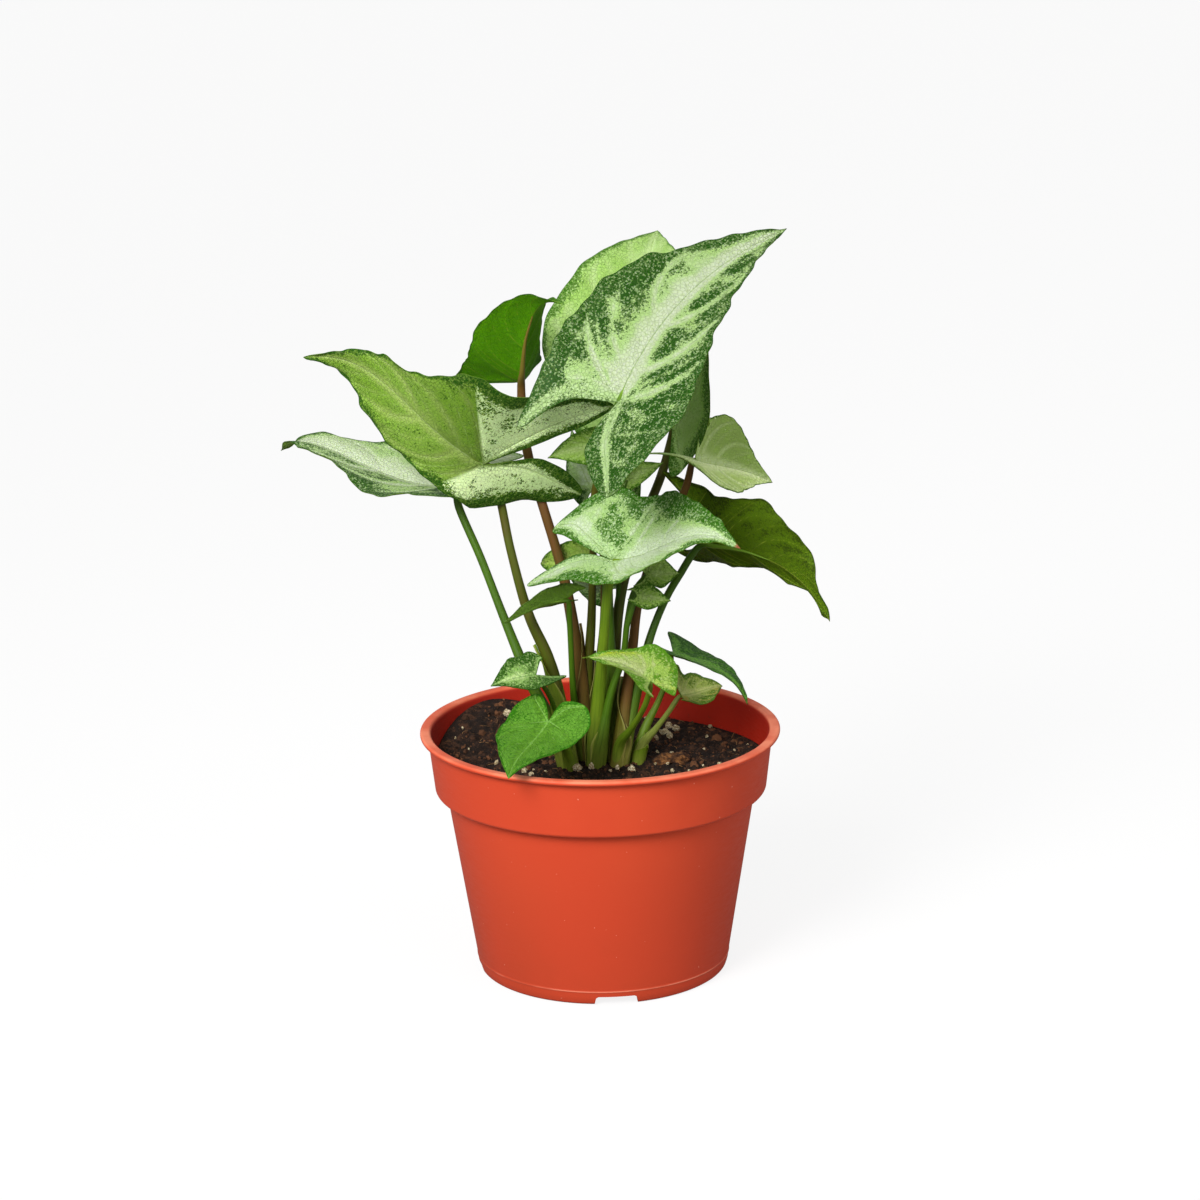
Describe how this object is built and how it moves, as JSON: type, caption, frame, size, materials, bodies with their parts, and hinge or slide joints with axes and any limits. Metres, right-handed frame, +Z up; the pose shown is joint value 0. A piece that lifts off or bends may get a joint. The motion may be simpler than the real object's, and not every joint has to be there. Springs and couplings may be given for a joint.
{
  "type": "potted arrowhead plant",
  "caption": "Arrowhead plant in a round nursery pot: pale green arrow-shaped leaves on slender stalks that rise from dark soil.",
  "frame": {"origin": "on the ground, under the middle of the whole plant's outline; the pot's axis stands 20.9 mm to +X and 0.5 mm to -Y of it", "axes": "+Z up, -Y towards the plant's front, +X to its right as seen from the front"},
  "size_m": [0.2326, 0.1652, 0.3138],
  "materials": {
    "pot": "terracotta-orange polypropylene with a soft satin sheen",
    "soil": "damp peat and bark mix with white perlite",
    "stalk": "smooth light green, slightly waxy",
    "brown_stalk": "smooth brown-green to red-brown, slightly waxy",
    "leaf_pale": "pale green centre and veins, dark green speckled margin, satin",
    "leaf_green": "mid green with paler veins, satin",
    "leaf_fresh": "plain bright green, satin",
    "leaf_bright": "saturated green underside with pale veins, satin",
    "leaf_deep": "dark green with a pale splash along the midrib, satin",
    "leaf_lime": "pale yellow-green, satin"
  },
  "bodies": {
    "root": {"pot": "pot", "soil": "soil", "shoot_left": "stalk", "shoot_back": "brown_stalk", "shoot_front": "stalk", "shoot_tall": "stalk", "shoot_right": "brown_stalk", "shoot_low": "stalk", "blade_tall": "leaf_pale", "blade_broad": "leaf_pale", "blade_outer": "leaf_pale", "blade_rear": "leaf_lime", "blade_upright": "leaf_bright", "blade_side": "leaf_green", "blade_hanging": "leaf_bright", "blade_front": "leaf_pale", "blade_heart": "leaf_fresh", "blade_lime": "leaf_lime", "blade_drip": "leaf_deep", "blade_paleLow": "leaf_green", "blade_splash": "leaf_deep", "blade_wing": "leaf_bright", "blade_olive": "leaf_green", "blade_tuckHigh": "leaf_green", "blade_tuckLow": "leaf_green", "blade_shade": "leaf_green", "blade_ghost": "leaf_pale", "blade_chip": "leaf_green", "blade_hidden": "leaf_pale"}
  },
  "joints": []
}
